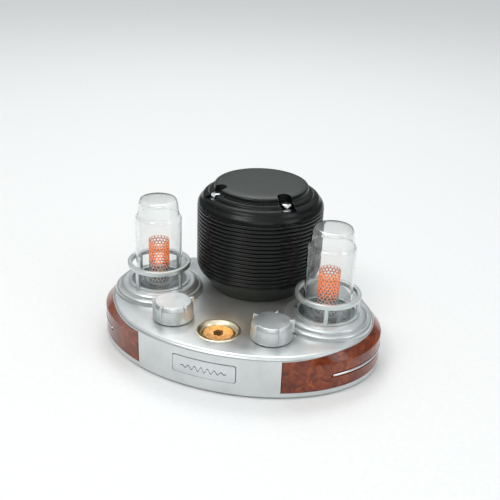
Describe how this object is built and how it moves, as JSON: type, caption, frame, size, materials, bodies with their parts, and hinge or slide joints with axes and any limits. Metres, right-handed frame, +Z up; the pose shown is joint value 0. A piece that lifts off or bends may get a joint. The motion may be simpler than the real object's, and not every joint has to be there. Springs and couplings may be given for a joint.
{
  "type": "tabletop radio",
  "caption": "Retro tabletop radio: oval silver plinth with burl side panels, glowing glass valves in open cages, a ribbed black loudspeaker can, control knobs and a lit brass push button.",
  "frame": {"origin": "on the table, at the centre of the radio's bounding box", "axes": "+Z up from the table, -Y out of the front with the badge and the knobs, +X to the right seen from the front"},
  "size_m": [0.221, 0.168, 0.1199],
  "materials": {
    "silver_paint": "satin silver lacquer on moulded plastic",
    "badge_plate": "satin plate with an engraved wave",
    "burl_wood": "glossy lacquered red burl",
    "chrome_trim": "polished chrome",
    "cage_silver": "satin silver",
    "clear_glass": "clear",
    "glow_mesh": "perforated plate lit orange from inside",
    "lamp": "lit amber lamp",
    "black_ribs": "satin black moulding",
    "black_lid": "fine matte dark grey",
    "knob_silver": "satin silver",
    "brass_bezel": "polished brass",
    "amber_lens": "frosted amber, lit",
    "dark_bronze": "dark bronze",
    "rubber_feet": "matte",
    "base_plastic": "textured black plastic",
    "screw_steel": "zinc plated",
    "magnet_iron": "ferrite and plated steel",
    "paper_cone": "pressed black paper",
    "surround_rubber": "soft",
    "circuit_board": "green solder mask",
    "black_component": "moulded",
    "ferrite": "sintered",
    "copper_wire": "enamelled copper",
    "pale_plastic": "moulded"
  },
  "bodies": {
    "radio": {"top_housing": "silver_paint", "base_plate": "base_plastic", "rubber_feet": "rubber_feet", "base_screws": "screw_steel", "wood_panel_left": "burl_wood", "wood_panel_right": "burl_wood", "trim_strip_left": "chrome_trim", "trim_strip_right": "chrome_trim", "name_badge": "badge_plate", "valve_base_left": "silver_paint", "valve_base_right": "silver_paint", "valve_cage_left": "cage_silver", "valve_cage_right": "cage_silver", "valve_glass_left": "clear_glass", "valve_glass_right": "clear_glass", "valve_mesh_left": "glow_mesh", "valve_mesh_right": "glow_mesh", "valve_lamp_left": "lamp", "valve_lamp_right": "lamp", "valve_screws": "screw_steel", "can_collar": "black_ribs", "can_body": "black_ribs", "can_lid": "black_lid", "can_bolts": "chrome_trim", "collar_screws": "screw_steel", "speaker_frame": "screw_steel", "speaker_magnet": "magnet_iron", "speaker_cone": "paper_cone", "speaker_surround": "surround_rubber", "volume_pot": "screw_steel", "tuning_capacitor": "pale_plastic", "eye_bezel": "brass_bezel", "power_switch": "black_component", "eye_leds": "lamp", "main_board": "circuit_board", "board_screws": "screw_steel", "audio_chip": "black_component", "tuner_chip": "black_component", "board_capacitors": "black_component", "ferrite_rod": "ferrite", "antenna_coil": "copper_wire", "rod_clips": "pale_plastic", "rear_board": "circuit_board", "dc_jack": "black_component", "band_switch": "screw_steel"},
    "volume_control": {"volume_knob": "knob_silver", "volume_shaft": "screw_steel"},
    "tuning_control": {"tuning_knob": "knob_silver", "tuning_shaft": "screw_steel"},
    "power_button": {"eye_lens": "amber_lens", "eye_rosette": "dark_bronze", "power_plunger": "pale_plastic"},
    "band_control": {"band_lever": "black_component"}
  },
  "joints": [
    {"name": "volume_turn", "type": "hinge", "parent": "radio", "child": "volume_control", "pos_m": [-0.0386, -0.04735, 0.034], "axis": [0, 0, 1], "range_deg": [-150, 150]},
    {"name": "tuning_turn", "type": "hinge", "parent": "radio", "child": "tuning_control", "pos_m": [0.0386, -0.04735, 0.034], "axis": [0, 0, 1], "range_deg": [-90, 90]},
    {"name": "power_press", "type": "slide", "parent": "radio", "child": "power_button", "axis": [0, 0, -1], "range_m": [0, 0.0012], "stiffness_N_per_m": 900, "springref_m": -0.0006},
    {"name": "band_slide", "type": "slide", "parent": "radio", "child": "band_control", "axis": [1, 0, 0], "range_m": [0, 0.004]}
  ]
}
